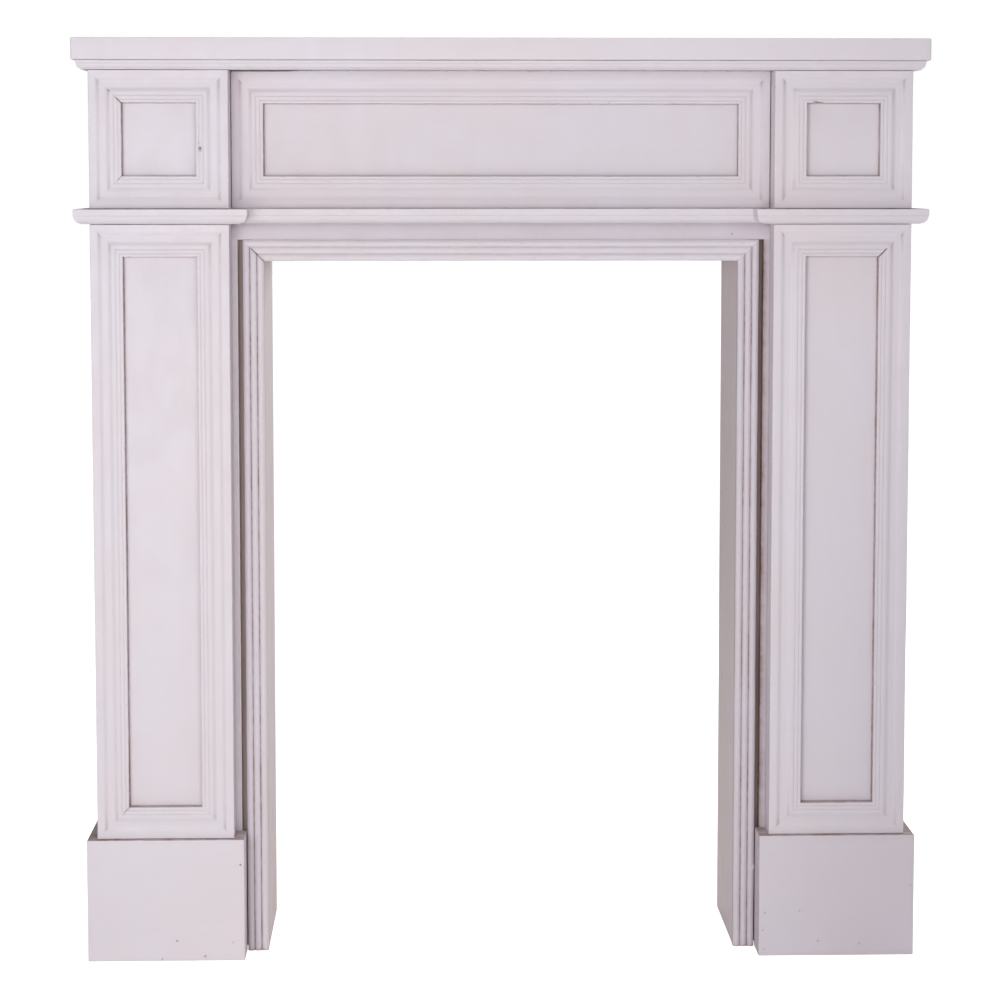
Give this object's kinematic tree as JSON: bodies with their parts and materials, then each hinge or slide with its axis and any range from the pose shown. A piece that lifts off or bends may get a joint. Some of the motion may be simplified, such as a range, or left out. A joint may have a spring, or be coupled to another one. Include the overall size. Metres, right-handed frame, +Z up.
{
  "type": "fireplace mantelpiece",
  "caption": "Painted timber fire surround: panelled legs on plinths, panelled frieze between corner blocks, moulded shelf and a reeded architrave round the opening.",
  "frame": {"origin": "floor level, midway across the width and the depth", "axes": "+Z up, the front of the shelf towards -Y, the wall face towards +Y, +X to the right as one faces it"},
  "size_m": [1.156, 0.262, 1.266],
  "materials": {
    "painted_timber": "brushed off-white paint with a brown glaze left in the coves, grooves and joints, rubbed at the edges",
    "painted_boards": "the same off-white paint, thinner and browner, on the boards of the legs and the linings",
    "bare_timber": "bare sawn softwood behind the painted work"
  },
  "bodies": {
    "root": {"mantel_shelf": "painted_timber", "bed_moulding_front": "painted_timber", "bed_moulding_left": "painted_timber", "bed_moulding_right": "painted_timber", "left_pilaster_bottom_rail": "painted_timber", "left_pilaster_inner_stile": "painted_timber", "left_pilaster_top_rail": "painted_timber", "left_pilaster_outer_stile": "painted_timber", "left_pilaster_panel": "painted_timber", "left_block_bottom_rail": "painted_timber", "left_block_inner_stile": "painted_timber", "left_block_top_rail": "painted_timber", "left_block_outer_stile": "painted_timber", "left_block_panel": "painted_timber", "right_pilaster_bottom_rail": "painted_timber", "right_pilaster_inner_stile": "painted_timber", "right_pilaster_top_rail": "painted_timber", "right_pilaster_outer_stile": "painted_timber", "right_pilaster_panel": "painted_timber", "right_block_bottom_rail": "painted_timber", "right_block_inner_stile": "painted_timber", "right_block_top_rail": "painted_timber", "right_block_outer_stile": "painted_timber", "right_block_panel": "painted_timber", "frieze_bottom_rail": "painted_timber", "frieze_right_stile": "painted_timber", "frieze_top_rail": "painted_timber", "frieze_left_stile": "painted_timber", "frieze_panel": "painted_timber", "left_cap_front": "painted_timber", "left_cap_outer_return": "painted_timber", "left_cap_inner_return": "painted_timber", "right_cap_front": "painted_timber", "right_cap_outer_return": "painted_timber", "right_cap_inner_return": "painted_timber", "centre_band": "painted_timber", "architrave_head": "painted_timber", "architrave_left": "painted_timber", "architrave_right": "painted_timber", "left_jamb_lining": "painted_boards", "right_jamb_lining": "painted_boards", "head_lining": "painted_boards", "left_leg_board": "painted_boards", "left_outer_side": "painted_timber", "left_inner_side": "painted_timber", "left_leg_batten": "bare_timber", "left_plinth_front": "painted_timber", "left_plinth_outer_side": "painted_timber", "left_plinth_inner_side": "painted_timber", "right_leg_board": "painted_boards", "right_outer_side": "painted_timber", "right_inner_side": "painted_timber", "right_leg_batten": "bare_timber", "right_plinth_front": "painted_timber", "right_plinth_outer_side": "painted_timber", "right_plinth_inner_side": "painted_timber", "fascia_board": "painted_boards", "frieze_backboard": "bare_timber"}
  },
  "joints": []
}
